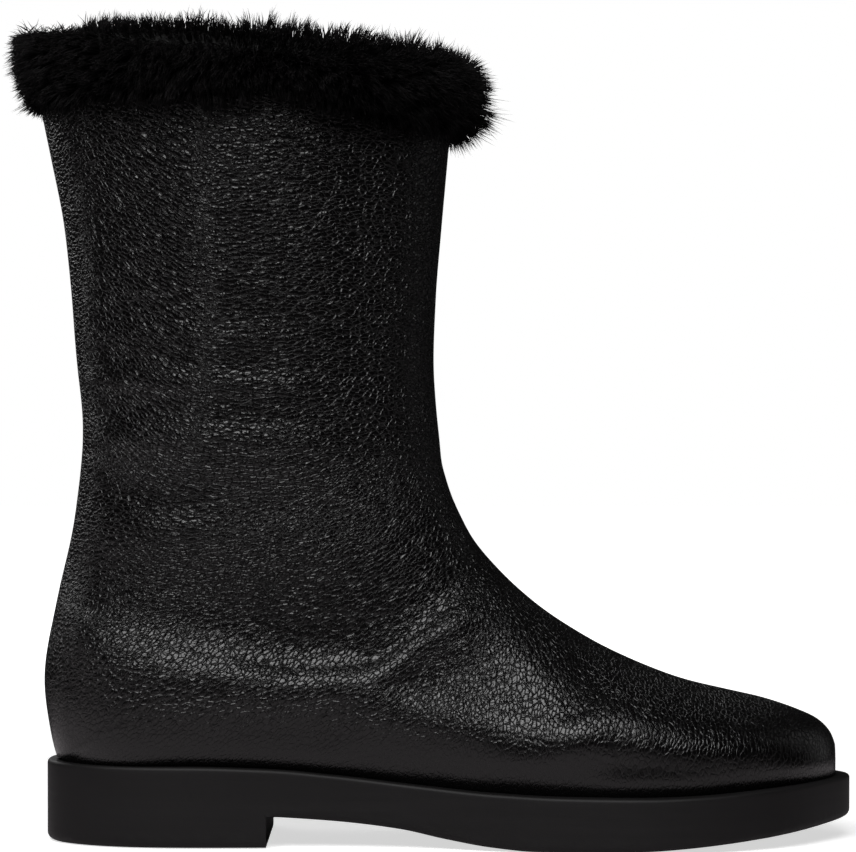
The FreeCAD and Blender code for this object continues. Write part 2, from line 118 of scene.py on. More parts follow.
# Rings of the upper from the shaft's top to the toe:
# front point (x, z), back point (x, z), length of the front rounding, length of the back rounding
RINGS = ((102.8, 285, -46, 285, 74.4, 74.4),
         (101.3, 262, -42, 262, 71.6, 71.6),
         (99.7, 240, -37.8, 240, 68.7, 68.7),
         (97.9, 215, -33.3, 215, 65.6, 65.6),
         (96.2, 190, -30.8, 190, 63.5, 63.5),
         (95.3, 166, -28.9, 165, 62.1, 62.1),
         (96.1, 151, -26.8, 142, 61.5, 61.5),
         (97.3, 139, -29.7, 112, 62, 62),
         (98.1, 131, -36.2, 82, 62, 52),
         (99.7, 124.8, -40.6, 54.6, 60, 42),
         (102, 118, -35.9, 28.1, 58, 37),
         (104.2, 113, -29, 5, 56, 36),
         (108.8, 104.3, -4, -21, 53, 32),
         (117.5, 93.7, 50, -23, 48, 26),
         (131.5, 80.9, 104.7, -19, 42, 20),
         (150, 68.8, 150, -12, 36, 15),
         (166, 61, 166, -8, 31, 12),
         (183, 54.6, 183, -3, 27.5, 10),
         (198, 51, 198, 0, 25, 9),
         (211, 47.9, 211, 3, 22, 8),
         (222, 44.2, 222, 6, 19, 7),
         (230, 40.4, 230, 9, 15, 6),
         (234.2, 35.8, 234.2, 12, 9.5, 5),
         (235.8, 31.5, 235.8, 15, 6, 4.3))


# ---- shape functions

def smooth(table, x, column=1):
    """Value at x of the smooth curve through the table's rows (monotone cubic)."""
    rows = np.array(table, float)
    xs = rows[:, 0]
    ys = rows[:, column]
    x = np.clip(np.asarray(x, float), xs[0], xs[-1])
    index = np.clip(np.searchsorted(xs, x, side="right") - 1, 0, len(xs) - 2)
    slopes = np.diff(ys) / np.diff(xs)
    tangents = np.empty_like(ys)
    tangents[0] = slopes[0]
    tangents[-1] = slopes[-1]
    before = slopes[:-1]
    after = slopes[1:]
    turning = before * after <= 0
    total = np.where(turning, 1.0, before + after)
    tangents[1:-1] = np.where(turning, 0.0, 2 * before * after / total)
    width = xs[index + 1] - xs[index]
    u = (x - xs[index]) / width
    low = ys[index] * (1 + 2 * u) + width * tangents[index] * u
    high = ys[index + 1] * (3 - 2 * u) - width * tangents[index + 1] * (1 - u)
    return low * (1 - u) ** 2 + high * u * u


def ramp(value, start, end):
    """0 before start, 1 after end, and smooth between them."""
    u = np.clip((np.asarray(value, float) - start) / (end - start), 0.0, 1.0)
    return u * u * (3 - 2 * u)


def bump(value, centre, width):
    return np.exp(-((value - centre) / width) ** 2)


def cap(distance, length):
    """Rise of a quarter ellipse from 0 at its end to 1 at length."""
    u = np.clip(distance / length, 0.0, 1.0)
    return np.sqrt(u * (2 - u))


def lip(x):
    return smooth(LIP, x)


def topline(x):
    return TOPLINE_HEIGHT + TOPLINE_SLOPE * (x - TOPLINE_X)


def seam_y(x):
    return TOE_SWING * ramp(x, SEAM_SWING_START, UPPER_TIP + 20)


def side_y(x, z, side):
    """Sideways reach of the upper at a place in the side view, measured from its centre seam."""
    body = smooth(BODY, x, 1 if side == OUTER else 2) - side * seam_y(x)
    shoulder = SHOULDER * bump(z, SHOULDER_HEIGHT, SHOULDER_SPREAD)
    body = body + shoulder * ramp(-x, *SHOULDER_FADE)
    height = z - lip(x)
    tuck = EDGE_TUCK * (1 - np.clip(height / TUCK_HEIGHT, 0.0, 1.0)) ** 2
    body = body - tuck * np.clip(body / TUCK_FULL_WIDTH, 0.0, 1.0)
    body = body * cap(np.maximum(UPPER_TIP - x, 0.0), TOE_ROUNDING)
    return body + (smooth(SHAFT, z) - body) * ramp(z, THROAT_LOW, THROAT_HIGH)


def even_rings(count):
    """The rings of RINGS respaced so that the steps between them grow and shrink gently."""
    table = np.array(RINGS, float)
    middle = side_y((table[:, 0] + table[:, 2]) / 2, (table[:, 1] + table[:, 3]) / 2, OUTER)
    moves = np.diff(table, axis=0)
    step = (np.hypot(moves[:, 0], moves[:, 1]) + np.hypot(moves[:, 2], moves[:, 3])) / 2
    step += np.abs(np.diff(middle))
    place = np.concatenate([[0.0], np.cumsum(step)])
    rows = np.column_stack([place, table])
    at = np.linspace(0.0, place[-1], count)
    rings = np.column_stack([smooth(rows, at, column) for column in range(1, 7)])
    rings[:, :4] = blur(rings[:, :4], count * RING_BLUR, 0, "line")
    return rings


def ring_points(rings, s, side):
    """Points of the rings at s, 0 at the front to 1 at the back.
    The shaft's rings are tilted little by little until the top one lies in the slanted edge."""
    columns = [rings[:, k][:, None] for k in range(6)]
    front_x, front_z, back_x, back_z, front_round, back_round = columns
    length = np.hypot(back_x - front_x, back_z - front_z)
    x = front_x + (back_x - front_x) * s
    z = front_z + (back_z - front_z) * s
    width = side_y(x, z, side)
    width = width * cap(s * length, front_round) * cap((1 - s) * length, back_round)
    lift = (topline(x) - SHEAR_START) / (RING_TOP - SHEAR_START)
    sheared = SHEAR_START + (z - SHEAR_START) * lift
    z = np.where(z > SHEAR_START, sheared, z)
    return np.stack([x, seam_y(x) + side * width, z], axis=-1)


def blur(values, sigma, axis, ends):
    """Gaussian blur along one axis. Past the ends, "line" continues the values straight, "fold"
    mirrors them, and "turn" continues the first end straight and mirrors the last."""
    reach = int(sigma * 3)
    kernel = np.exp(-0.5 * (np.arange(-reach, reach + 1) / sigma) ** 2)
    kernel /= kernel.sum()
    values = np.moveaxis(np.asarray(values, float), axis, 0)
    first = values[1:reach + 1][::-1]
    last = values[-reach - 1:-1][::-1]
    if ends in ("line", "turn"):
        first = 2 * values[0] - first
    if ends == "line":
        last = 2 * values[-1] - last
    padded = np.concatenate([first, values, last])
    result = np.zeros_like(values)
    for k, weight in enumerate(kernel):
        result += weight * padded[k:k + len(values)]
    return np.moveaxis(result, 0, axis)


def arc(points):
    """Length along the rows of a grid of points."""
    steps = np.linalg.norm(np.diff(points, axis=1), axis=2)
    return np.concatenate([np.zeros((len(points), 1)), np.cumsum(steps, axis=1)], axis=1)


def respace(points, count):
    """Rows of points respaced to even steps of length along each row."""
    length = arc(points)
    result = np.empty((len(points), count, 3))
    for i in range(len(points)):
        at = np.linspace(0, length[i, -1], count)
        for axis in range(3):
            result[i, :, axis] = np.interp(at, length[i], points[i, :, axis])
    return result


def unit(vectors):
    return vectors / np.maximum(np.linalg.norm(vectors, axis=-1, keepdims=True), 1e-9)


def grid_normals(points):
    """Normals of a grid of points. They point outwards if its rows follow each other down the
    boot and each runs from the front over the inner side to the back, or both are turned."""
    return unit(np.cross(np.gradient(points, axis=0), np.gradient(points, axis=1)))


def noise_field(points, scale, seed):
    """Smooth noise from -1 to 1 at each of the points, with features about scale apart."""
    offset = Vector((seed * 17.3, seed * 5.1, seed * 9.7))
    flat = points.reshape(-1, 3) / scale
    values = [noise.noise(Vector(p) + offset) for p in flat]
    return np.array(values).reshape(points.shape[:-1])


# ---- mesh helpers

MERGE_DISTANCE = 1e-6


def new_mesh(name, points, faces, material, uv=None, floats=()):
    """Smooth mesh object from points in millimetres and blocks of faces of equal size."""
    mesh = bpy.data.meshes.new(name)
    mesh.vertices.add(len(points))
    mesh.vertices.foreach_set("co", (np.asarray(points, float) * MM).astype(np.float32).ravel())
    sizes = np.concatenate([np.full(len(block), block.shape[1]) for block in faces])
    loops = np.concatenate([block.ravel() for block in faces]).astype(np.int32)
    starts = np.concatenate([[0], np.cumsum(sizes)[:-1]]).astype(np.int32)
    mesh.loops.add(len(loops))
    mesh.loops.foreach_set("vertex_index", loops)
    mesh.polygons.add(len(sizes))
    mesh.polygons.foreach_set("loop_start", starts)
    mesh.polygons.foreach_set("loop_total", sizes.astype(np.int32))
    if uv is not None:
        layer = mesh.uv_layers.new(name="OFBake")
        layer.data.foreach_set("uv", np.asarray(uv, np.float32)[loops].ravel())
    for key, values in floats:
        attribute = mesh.attributes.new(key, "FLOAT", "POINT")
        attribute.data.foreach_set("value", np.asarray(values, np.float32).ravel())
    mesh.update(calc_edges=True)
    mesh.validate()
    mesh.polygons.foreach_set("use_smooth", np.ones(len(mesh.polygons), bool))
    mesh.materials.append(material)
    piece = bpy.data.objects.new(name, mesh)
    bpy.context.scene.collection.objects.link(piece)
    return piece


def grid_faces(rows, columns, flip, wrap=False):
    """Quads of a grid of points, optionally closed from its last column to its first."""
    numbers = np.arange(rows * columns).reshape(rows, columns)
    if wrap:
        numbers = np.concatenate([numbers, numbers[:, :1]], axis=1)
    a = numbers[:-1, :-1].ravel()
    b = numbers[:-1, 1:].ravel()
    c = numbers[1:, 1:].ravel()
    d = numbers[1:, :-1].ravel()
    order = (a, d, c, b) if flip else (a, b, c, d)
    return np.stack(order, axis=1)


def merge(piece):
    """Joins the points of a piece that lie on each other."""
    work = bmesh.new()
    work.from_mesh(piece.data)
    bmesh.ops.remove_doubles(work, verts=work.verts, dist=MERGE_DISTANCE)
    bmesh.ops.recalc_face_normals(work, faces=work.faces)
    work.to_mesh(piece.data)
    work.free()


def finish_piece(piece, slot, *nodes):
    """Hands a piece over: its body and the CAD nodes it stands for. The slot argument is not used.
    """
    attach(piece, "root")
    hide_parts(*nodes)


# ---- materials

class Nodes:
    """Short way to build a node material."""

    def __init__(self, name):
        self.material = bpy.data.materials.new(name)
        self.material.use_nodes = True
        self.tree = self.material.node_tree
        self.shader = self.tree.nodes["Principled BSDF"]

    def add(self, kind, settings=None, **inputs):
        """New node with its inputs by name, or by number as i0, i1 and so on."""
        node = self.tree.nodes.new("ShaderNode" + kind)
        for key, value in (settings or {}).items():
            setattr(node, key, value)
        self.set(node, **inputs)
        return node

    def set(self, node, **inputs):
        for key, value in inputs.items():
            number = key[1:]
            socket = node.inputs[int(number) if number.isdigit() else key.replace("_", " ")]
            if isinstance(value, bpy.types.NodeSocket):
                self.tree.links.new(value, socket)
            else:
                socket.default_value = value

    def math(self, operation, a, b=0.0, c=0.0):
        return self.add("Math", {"operation": operation}, i0=a, i1=b, i2=c).outputs[0]

    def remap(self, value, low, high, new_low=0.0, new_high=1.0):
        """Smooth step from new_low to new_high while value goes from low to high."""
        return self.add("MapRange", {"interpolation_type": "SMOOTHSTEP"}, Value=value,
                        From_Min=low, From_Max=high, To_Min=new_low, To_Max=new_high).outputs[0]

    def colours(self, factor, *stops):
        """Colour ramp with stops of (place, colour)."""
        node = self.add("ValToRGB", Fac=factor)
        ramp_of = node.color_ramp
        while len(ramp_of.elements) < len(stops):
            ramp_of.elements.new(0.5)
        for element, (place, colour) in zip(ramp_of.elements, stops):
            element.position = place
            element.color = (*colour, 1.0)
        return node.outputs[0]

    def attribute(self, name):
        return self.add("Attribute", {"attribute_name": name}).outputs["Fac"]

    def noise(self, vector, scale, detail=2.0, roughness=0.5):
        return self.add("TexNoise", Vector=vector, Scale=scale, Detail=detail,
                        Roughness=roughness).outputs["Fac"]

    def voronoi(self, vector, scale, feature):
        return self.add("TexVoronoi", {"feature": feature}, Vector=vector,
                        Scale=scale).outputs["Distance"]

    def vector(self, operation, output, *values):
        inputs = {"i" + str(k): value for k, value in enumerate(values)}
        return self.add("VectorMath", {"operation": operation}, **inputs).outputs[output]

    def square(self, value):
        return self.math("MULTIPLY", value, value)

    def weigh(self, value, weight):
        return self.math("MULTIPLY", value, weight)

    def total(self, first, *others):
        for other in others:
            first = self.math("ADD", first, other)
        return first

    def object_place(self):
        return self.add("TexCoord").outputs["Object"]

    def bump(self, height, distance, strength):
        return self.add("Bump", Height=height, Distance=distance, Strength=strength).outputs[0]

    def finish(self, colour, roughness, normal, **sockets):
        self.set(self.shader, Base_Color=colour, Roughness=roughness, Normal=normal, **sockets)
        return self.material


# Grain of the leather: size of a cell along and across, turns of its long direction, depth of
# the bumps, how far the cells are pushed about, and the shares of creases, domes and pores
CELL_LONG = 0.0026
CELL_SHORT = 0.00130
GRAIN_TURNS = (-40.0, 0.0, 42.0, 84.0)
GRAIN_DEPTH = 0.00064
GRAIN_WARP = 0.0016
GRAIN_WARP_SCALE = 260.0
CREASE_WIDTH = 0.15
CREASE_RISE = 0.25
DOME = 0.6
FINE_SCALE = 1150.0
FINE_SHARE = -0.22
PORE_SCALE = 5200.0
PORE_SHARE = 0.05


def leather_material():
    """Tumbled leather: small rounded cells between fine creases. The cells are long in one
    direction, which follows grain_turn, so four turned patterns are blended into each other."""
    n = Nodes("grained_leather")
    place = n.object_place()
    strength = n.attribute("grain_strength")
    turn = n.attribute("grain_turn")
    warp = n.add("TexNoise", Vector=place, Scale=GRAIN_WARP_SCALE,
                 Detail=2.0).outputs["Color"]
    shifted = n.vector("MULTIPLY_ADD", 0, warp, (GRAIN_WARP,) * 3, place)
    parts = []
    squares = []
    for k, angle in enumerate(GRAIN_TURNS):
        shares = []
        if k > 0:
            shares.append(n.remap(turn, GRAIN_TURNS[k - 1], angle))
        if k < len(GRAIN_TURNS) - 1:
            shares.append(n.remap(turn, angle, GRAIN_TURNS[k + 1], 1.0, 0.0))
        share = shares[0] if len(shares) == 1 else n.weigh(*shares)
        cells = n.add("Mapping", {"vector_type": "TEXTURE"}, Vector=shifted,
                      Rotation=(0.0, -math.radians(angle), 0.0),
                      Scale=(CELL_LONG, CELL_LONG, CELL_SHORT)).outputs[0]
        edge = n.voronoi(cells, 1.0, "DISTANCE_TO_EDGE")
        centre = n.voronoi(cells, 1.0, "F1")
        dome = n.math("SUBTRACT", n.remap(edge, 0.0, CREASE_WIDTH, -CREASE_RISE, CREASE_RISE),
                      n.weigh(n.square(centre), DOME))
        parts.append(n.weigh(share, dome))
        squares.append(n.square(share))
    power = n.math("SQRT", n.math("MAXIMUM", n.total(*squares), 0.05))
    grain = n.math("DIVIDE", n.total(*parts), power)
    small = n.weigh(n.square(n.voronoi(place, FINE_SCALE, "F1")), FINE_SHARE)
    pores = n.noise(place, PORE_SCALE, 2.0, 0.6)
    height = n.weigh(n.total(grain, small), strength)
    height = n.total(height, n.weigh(pores, PORE_SHARE))
    broad = n.noise(place, 30.0, 3.0)
    # Painted shade: the colour follows the grain's height, darker in the creases between the cells
    # and lighter on their domes; the broad noise is the leather's own uneven tone.
    tone = n.total(n.weigh(grain, 0.6), n.weigh(broad, 0.4))
    colour = n.colours(tone, (0.2, (0.0010, 0.0008, 0.0009)), (0.55, (0.0022, 0.0018, 0.0020)),
                       (1.0, (0.0040, 0.0034, 0.0037)))
    rough = n.total(n.remap(grain, -0.4, 0.15, 0.28, 0.20), n.weigh(pores, PORE_SHARE))
    return n.finish(colour, rough, n.bump(height, GRAIN_DEPTH, 1.0), Specular_IOR_Level=0.5)


def rubber_material():
    """Matte moulded rubber with faint streaks along the wall and a rough underside."""
    n = Nodes("sole_rubber")
    place = n.object_place()
    streaks = n.noise(n.vector("MULTIPLY", 0, place, (18.0, 18.0, 420.0)), 1.0, 3.0, 0.6)
    broad = n.noise(place, 35.0, 3.0)
    grit = n.noise(place, 2600.0, 2.0, 0.6)
    pits = n.remap(n.voronoi(place, 700.0, "F1"), 0.0, 0.6)
    rough_tread = n.weigh(pits, n.attribute("tread_share"))
    height = n.total(n.weigh(grit, 0.30), n.weigh(streaks, 0.28), n.weigh(rough_tread, 2.2))
    tone = n.total(n.weigh(streaks, 0.6), n.weigh(broad, 0.4))
    colour = n.colours(tone, (0.25, (0.0040, 0.0036, 0.0038)), (0.8, (0.0084, 0.0077, 0.0081)))
    rough = n.total(0.50, n.weigh(streaks, 0.14))
    return n.finish(colour, rough, n.bump(height, 0.00012, 0.8), Specular_IOR_Level=0.28)


def fur_material():
    """Black fur: hairs dark at the root and slightly lighter towards the tip, a painted shade deep
    in the pile; each hair and clump also has its own random tone.
    """
    n = Nodes("fur")
    # Painted shade: the colour darkens from the tip down to the root of each hair.
    tone = n.total(n.weigh(n.attribute("along_hair"), 0.6),
                   n.weigh(n.attribute("hair_shade"), 0.4))
    colour = n.colours(tone, (0.0, (0.0008, 0.0007, 0.0007)), (0.6, (0.0036, 0.0031, 0.0034)),
                       (1.0, (0.0170, 0.0148, 0.0158)))
    streak = n.noise(n.object_place(), 900.0, 2.0)
    rough = n.remap(streak, 0.3, 0.7, 0.48, 0.66)
    return n.finish(colour, rough, n.bump(streak, 0.00005, 0.5), Specular_IOR_Level=0.14,
                    Sheen_Weight=0.0)


def shearling_material():
    """Dense curly pile of the lining, seen down the shaft."""
    n = Nodes("shearling")
    place = n.object_place()
    curls = n.voronoi(place, 260.0, "SMOOTH_F1")
    fuzz = n.noise(place, 1500.0, 4.0, 0.7)
    height = n.total(n.remap(curls, 0.0, 0.7), n.weigh(fuzz, 0.6))
    colour = n.colours(n.weigh(curls, fuzz), (0.05, (0.010, 0.0095, 0.0098)),
                       (0.5, (0.0025, 0.0024, 0.0025)))
    return n.finish(colour, n.remap(fuzz, 0.2, 0.8, 0.75, 0.95), n.bump(height, 0.0012, 0.9),
                    Sheen_Weight=0.3, Sheen_Roughness=0.5)


def plain_material(name, colour, roughness, metallic, grain_scale, grain_depth, contrast=0.25):
    """Simple finish with its own fine grain, for the pieces inside the boot."""
    n = Nodes(name)
    grain = n.noise(n.object_place(), grain_scale, 4.0, 0.6)
    dark = tuple(c * (1 - contrast) for c in colour)
    light = tuple(min(c * (1 + contrast), 1.0) for c in colour)
    tint = n.colours(grain, (0.3, dark), (0.7, light))
    rough = n.remap(grain, 0.3, 0.7, roughness - 0.08, min(roughness + 0.08, 1.0))
    return n.finish(tint, rough, n.bump(grain, grain_depth, 0.6), Metallic=metallic)


# ---- leather panels

EDGE_GAP = 0.2  # height of the leather's lower edge above the sole
SOFTEN_BLUR = 4.0  # columns of blur, and the columns over which it starts at each edge
SOFTEN_FRONT = 3.0
SOFTEN_BACK = 14.0
TOE_FADE = (-234.0, -215.0)  # -x between which the smoothing, and the relief, set in at the tip
RELIEF_FADE = (-235.0, -222.0)


def panel_grid(rings, s_end, side):
    """Even grid of points over one side of the upper, from the front seam to its lower edge."""
    last = np.arccos(1 - 2 * s_end)
    share = np.linspace(0.0, 1.0, DRAFT_STEPS)[None, :]
    s = (1 - np.cos(last[:, None] * share)) / 2
    return respace(ring_points(rings, s, side), PANEL_COLUMNS)


def lower_edge(rings):
    """How far round each ring the panel reaches: to the back seam, or to the sole's top."""
    low = np.full(len(rings), 0.15)
    high = np.ones(len(rings))
    for _ in range(40):
        s = (low + high) / 2
        x = rings[:, 0] + (rings[:, 2] - rings[:, 0]) * s
        z = rings[:, 1] + (rings[:, 3] - rings[:, 1]) * s
        above = z > lip(x) + EDGE_GAP
        low = np.where(above, s, low)
        high = np.where(above, high, s)
    return np.where(high > 0.99999, 1.0, low)


def soften(points):
    """Smooths a panel's grid along its rows, less and less towards its edges and the toe's tip."""
    result = points.copy()
    for axis in (0, 2):
        result[..., axis] = blur(result[..., axis], SOFTEN_BLUR, 1, "fold")
    result[..., 1] = blur(result[..., 1], SOFTEN_BLUR, 1, "turn")
    column = np.arange(PANEL_COLUMNS)
    keep = ramp((PANEL_COLUMNS - 1 - column) / SOFTEN_BACK, 0.0, 1.0)[None, :, None]
    keep = keep * ramp(-points[..., :1], *TOE_FADE)
    front = np.clip(column / SOFTEN_FRONT, 0, 1)[None, :, None]
    return points + (result - points) * keep * front


# Creases of the shaft: centre line in the side view, depth, half width, first and last x
CREASES = ((((-30, 156), (0, 154), (30, 153.5), (60, 156)), 0.55, 2.4, -36, 66),
           (((-32, 136), (0, 134), (35, 134), (60, 130), (80, 119), (98, 106)), 0.5, 2.4, -38, 104),
           (((48, 121), (75, 113), (97, 103)), 0.5, 3.0, 42, 102))

# Leaning bands of the sides, each with a bulge below it and a hollow above it:
# middle line (x, z, half height), height of the bulge, depth of the hollow, first and last x
SLOPES = ((((-30, 85, 10), (-11, 78, 12), (3, 73, 12), (25, 67, 10), (47, 62.5, 8),
            (72, 63.5, 7), (86, 72, 7), (101, 82, 7.5), (112, 88, 8)), 3.2, 1.4, -40, 116),
          (((80, 56, 11), (105, 50, 12), (125, 45, 12), (145, 47, 12)), 3.0, 1.4, 62, 158),
          (((150, 54, 7), (170, 52, 7), (195, 46, 6)), 0.9, 0.8, 138, 210),
          (((130, 30, 7), (150, 32, 7), (200, 30, 6)), -0.9, -0.9, 130, 224),
          (((-30, 162, 5.5), (70, 161, 5.5)), 1.1, 1.1, -32, 64),
          (((-30, 145, 6.5), (70, 142, 6.5)), 1.15, 1.15, -34, 68),
          (((-20, 116, 8), (70, 109, 8)), 1.8, 1.4, -30, 72),
          (((-20, 177, 6), (60, 175, 6)), 0.5, 0.5, -26, 62))
FOLD_FADE = 18.0  # length over which a fold runs out at its ends
RELIEF_FLOOR = -1.4  # deepest place
INNER_RELIEF = 0.65  # share of the relief on the inner side
HEEL_SWELL = 1.3  # swelling over the back of the heel, at a height and spread
HEEL_SWELL_HEIGHT = 33.0
HEEL_SWELL_SPREAD = 9.0
SEAM_WIDTH = 0.8
FRONT_SEAM_DEPTH = 0.55
BACK_SEAM_DEPTH = 0.5
SHAFT_SLANT = 38.0  # turn of the grain over the rear of the shaft


def between(x, start, end):
    """1 between start and end, falling to 0 within FOLD_FADE of both ends."""
    return ramp(x, start, start + FOLD_FADE) * ramp(-x, -end, FOLD_FADE - end)


def leather_relief(points, side):
    """Folds and hollows of the soft leather, in millimetres outwards."""
    bend = 2.0 * noise_field(points, 45.0, 3 + side)
    x = points[..., 0] + 2 * bend
    z = points[..., 2] + bend
    relief = 0.0 * x
    for line, depth, spread, start, end in CREASES:
        relief -= depth * bump(z, smooth(line, x), spread) * between(x, start, end)
    for line, bulge, hollow, start, end in SLOPES:
        step = (z - smooth(line, x)) / smooth(line, x, 2)
        shape = -step * np.exp(0.5 - step * step / 2)
        relief += np.where(shape > 0, bulge, hollow) * shape * between(x, start, end)
    relief += 0.4 * noise_field(points, 38.0, 7 + side) * ramp(z, 40.0, 90.0)
    relief += 0.22 * noise_field(points, 13.0, 8 + side)
    swell = bump(points[..., 2], HEEL_SWELL_HEIGHT, HEEL_SWELL_SPREAD)
    relief += HEEL_SWELL * swell * ramp(-points[..., 0], 24.0, 38.0)
    relief *= 1.0 if side == OUTER else INNER_RELIEF
    return np.maximum(relief, RELIEF_FLOOR)


def grain_strength(points):
    """How strongly the grain shows: less near the sole, at the heel and toe, and in patches."""
    x = points[..., 0]
    z = points[..., 2]
    strength = 0.22 + 0.78 * ramp(z - lip(x), 9.0, 34.0)
    strength *= 1 - 0.6 * ramp(-x, 10.0, 38.0) * ramp(-z, -80.0, -45.0)
    strength *= 1 - 0.5 * ramp(x, 215.0, 236.0)
    return strength * (0.70 + 0.30 * ramp(z, 85.0, 130.0) + 0.2 * noise_field(points, 30.0, 12))


def grain_turn(rings, points):
    """Direction of the long side of the grain's cells, in degrees above the horizontal."""
    depth = rings[:, 0] - rings[:, 2]
    angle = np.degrees(np.arctan2(rings[:, 1] - rings[:, 3], depth))
    angle = np.where(depth < 1.0, 90.0, angle)
    x = points[..., 0]
    shaft = ramp(points[..., 2], 90.0, 150.0)
    slant = ramp(-x, -30.0, -8.0) * ramp(x, -34.0, -14.0) * shaft
    return angle[:, None] - SHAFT_SLANT * slant


def make_upper(material):
    rings = even_rings(PANEL_ROWS)
    s_end = lower_edge(rings)
    at_back_seam = (s_end >= 1.0)[:, None]
    shares = np.meshgrid(np.linspace(0, 1, PANEL_COLUMNS), np.linspace(0, 1, PANEL_ROWS))
    uv = np.stack(shares, axis=-1).reshape(-1, 2)
    for side, word in SIDES:
        points = soften(panel_grid(rings, s_end, side))
        normals = side * grid_normals(points)
        from_front = arc(points)
        from_edge = from_front[:, -1:] - from_front
        relief = leather_relief(points, side)
        relief *= ramp(from_front, 0.0, 12.0) * ramp(from_edge, 0.0, 14.0)
        relief -= FRONT_SEAM_DEPTH * bump(from_front, 0.0, SEAM_WIDTH)
        relief -= BACK_SEAM_DEPTH * bump(from_edge, 0.0, SEAM_WIDTH) * at_back_seam
        relief *= ramp(-points[..., 0], *RELIEF_FADE)
        points = points + normals * relief[..., None]
        piece = new_mesh("leather_" + word + "_side", points.reshape(-1, 3),
                         [grid_faces(PANEL_ROWS, PANEL_COLUMNS, side == INNER)], material, uv,
                         floats=[("grain_turn", grain_turn(rings, points)),
                                 ("grain_strength", grain_strength(points))])
        finish_piece(piece, "grained_leather", "upper_" + word + "_side")


# ---- sole

SOLE_STATIONS = 400
OUTLINE_POINTS = 24000
LIP_ROUNDING = 1.2
TREAD_ROUNDING = 2.2
WALL_ROWS = 16
HEEL_ROWS = 9
TOP_INSETS = (11.0, 7.0, 4.0, 2.2)
UNDER_INSETS = (3.5, 6.0, 11.0)
SHARP_ANGLE = 50
ROUGH_HEIGHT = 6.0  # height of the uneven lower part of the wall
UNDER_HEIGHT = 0.6  # height up to which the wall counts as underside


def closed_curve(points, count):
    """Points along the smooth closed curve through the given points."""
    p = np.array(points, float)
    n = len(p)
    chord = np.linalg.norm(np.roll(p, -1, 0) - p, axis=1)
    system = np.zeros((n, n))
    right = np.zeros_like(p)
    for i in range(n):
        before = chord[i - 1]
        after = chord[i]
        j = (i + 1) % n
        system[i, i - 1] = after
        system[i, i] = 2 * (before + after)
        system[i, j] = before
        right[i] = 3 * (after * (p[i] - p[i - 1]) / before + before * (p[j] - p[i]) / after)
    slope = np.linalg.solve(system, right)
    place = np.concatenate([[0.0], np.cumsum(chord)])
    at = np.linspace(0, place[-1], count, endpoint=False)
    k = np.clip(np.searchsorted(place, at, side="right") - 1, 0, n - 1)
    u = ((at - place[k]) / chord[k])[:, None]
    length = chord[k][:, None]
    after = (k + 1) % n
    return (p[k] * (1 + 2 * u) * (1 - u) ** 2 + slope[k] * length * u * (1 - u) ** 2
            + p[after] * u * u * (3 - 2 * u) - slope[after] * length * u * u * (1 - u))


def sole_sides():
    """Outline of the sole as stations with the same x on both sides, and the inward normals."""
    outer = [(x, -y) for x, y, _ in PLAN]
    inner = [(x, y) for x, _, y in reversed(PLAN)]
    corners = [(SOLE_BACK, 0)] + outer + [(SOLE_TIP, TOE_POINT_Y)] + inner
    loop = closed_curve(corners, OUTLINE_POINTS)
    rear = int(np.argmin(loop[:, 0]))
    loop = np.roll(loop, -rear, axis=0)
    toe = int(np.argmax(loop[:, 0]))
    halves = (loop[:toe + 1], np.concatenate([loop[toe:], loop[:1]])[::-1])
    share = (1 - np.cos(np.pi * np.linspace(0, 1, SOLE_STATIONS + 1))) / 2
    x = loop[0, 0] + (loop[toe, 0] - loop[0, 0]) * share
    breast = int(np.argmin(np.abs(x - HEEL_BREAST)))
    x[breast] = HEEL_BREAST
    result = []
    for half, side in zip(halves, (OUTER, INNER)):
        y = np.interp(x, half[:, 0], half[:, 1])
        tangent = unit(np.stack([np.gradient(x), np.gradient(y)], axis=1))
        normal = np.stack([side * tangent[:, 1], -side * tangent[:, 0]], axis=1)
        normal[0] = (1, 0)
        normal[-1] = (-1, 0)
        normal[breast] = (0, -side)
        result.append((np.stack([x, y], axis=1), normal))
    return result, breast


def wall_rows(points, normal):
    """Rows of points from the top's inner edge down the wall and under the sole, and the rows
    of the heel's lower wall. Each row has one point for each station."""
    x = points[:, 0]
    ones = np.ones(len(x))

    def at(inset, height):
        place = points + normal * (ones * inset)[:, None]
        return np.column_stack([place, height(place[:, 0])])

    def level(height):
        return lambda q: height + 0 * q

    def turn_under(radius, floor):
        """Rounded edge between the wall and the underside."""
        for a in np.linspace(0, np.pi / 2, 6)[1:]:
            drop = radius * (1 - math.sin(a))
            yield at(radius * (1 - math.cos(a)), lambda q, d=drop: floor(q) + d)
        for inset in UNDER_INSETS:
            yield at(inset, floor)

    fade = ramp(x, HEEL_BREAST, HEEL_BREAST + 5.0)
    rows = [at(inset, lip) for inset in TOP_INSETS]
    for a in np.linspace(0, np.pi / 2, 5):
        drop = LIP_ROUNDING * (1 - math.cos(a))
        rows.append(at(LIP_ROUNDING * (1 - math.sin(a)), lambda q, d=drop: lip(q) - d))
    top = lip(x) - LIP_ROUNDING
    low = np.where(x <= HEEL_BREAST, TREAD[0][1], smooth(TREAD, x) + TREAD_ROUNDING * fade)
    for k in range(1, WALL_ROWS + 1):
        rows.append(at(0.0, level(top + (low - top) * k / WALL_ROWS)))
    upper_end = len(rows)
    heel = [rows[-1]]
    rows.extend(turn_under(TREAD_ROUNDING * fade, lambda q: smooth(TREAD, q)))
    for k in range(1, HEEL_ROWS + 1):
        heel.append(at(0.0, level(TREAD[0][1] + (TREAD_ROUNDING - TREAD[0][1]) * k / HEEL_ROWS)))
    heel.extend(turn_under(TREAD_ROUNDING, lambda q: 0 * q))
    return np.array(rows), np.array(heel), upper_end


